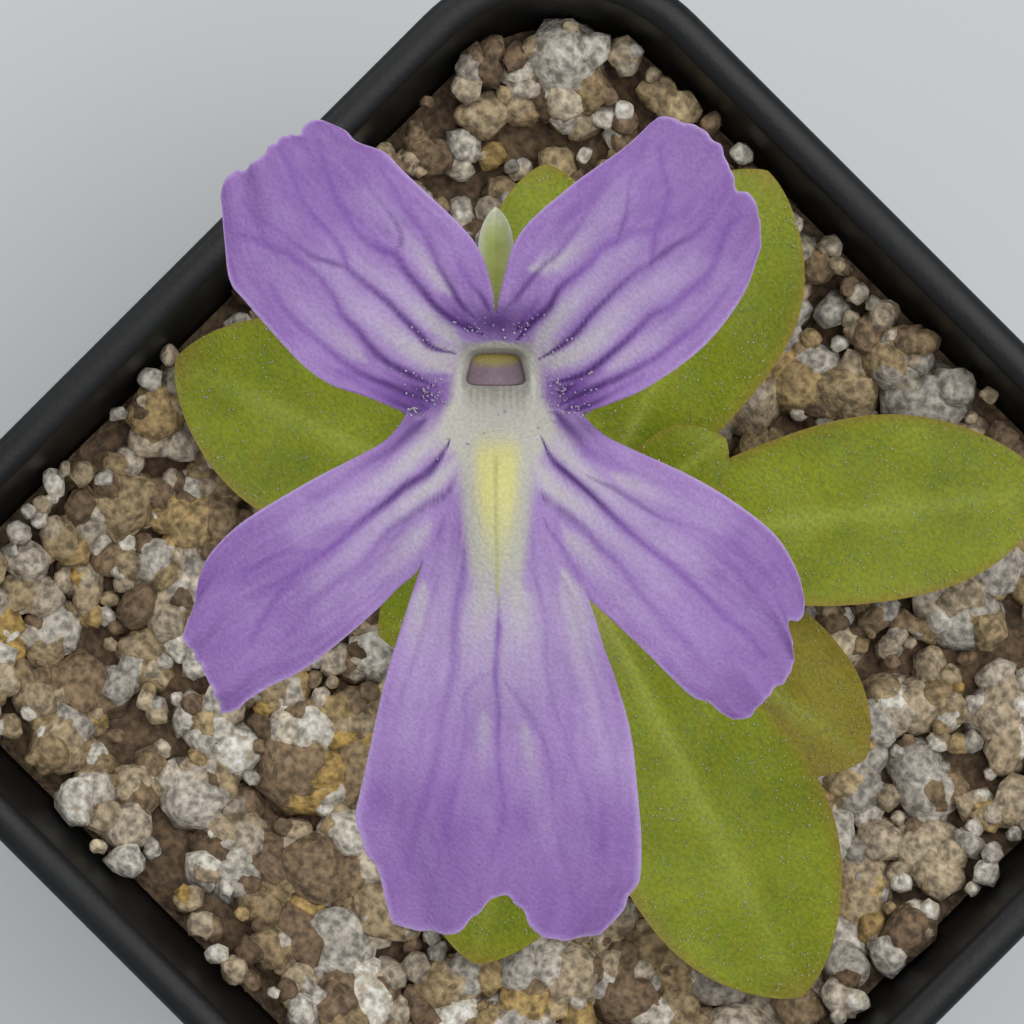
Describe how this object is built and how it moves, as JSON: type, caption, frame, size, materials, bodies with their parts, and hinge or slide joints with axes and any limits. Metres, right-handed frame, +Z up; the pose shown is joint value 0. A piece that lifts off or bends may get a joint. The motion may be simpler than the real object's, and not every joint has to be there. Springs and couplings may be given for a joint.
{
  "type": "potted butterwort",
  "caption": "Butterwort in flower: a rosette of oval leaves on gritty soil in a square plastic pot, with one slender stalk and a spurred lilac flower that faces up.",
  "frame": {"origin": "middle of the pot's flat base", "axes": "+Z up, with the pot's sides along X and Y; the flower's upper lip points towards the corner between -X and +Y"},
  "size_m": [0.061, 0.061, 0.1341],
  "materials": {
    "black_plastic": "moulded black plastic with a soft sheen",
    "grit": "dry mineral grit mix, pale grey, tan and brown",
    "leaf": "smooth fleshy leaf with a greasy sheen, olive green",
    "stalk": "soft green stalk with short hairs",
    "sepal": "pale green sepal",
    "petal": "thin lilac petal with dark purple veins and a white throat with a yellow stripe",
    "stigma": "soft olive-brown stigma"
  },
  "bodies": {
    "root": {"pot": "black_plastic", "soil": "grit", "rootstock": "stalk", "leaf_01": "leaf", "leaf_02": "leaf", "leaf_03": "leaf", "leaf_04": "leaf", "leaf_05": "leaf", "leaf_06": "leaf", "leaf_07": "leaf", "leaf_08": "leaf", "leaf_09": "leaf", "leaf_10": "leaf", "leaf_11": "leaf", "scape": "stalk", "calyx": "sepal", "corolla": "petal", "pistil": "stigma"}
  },
  "joints": []
}
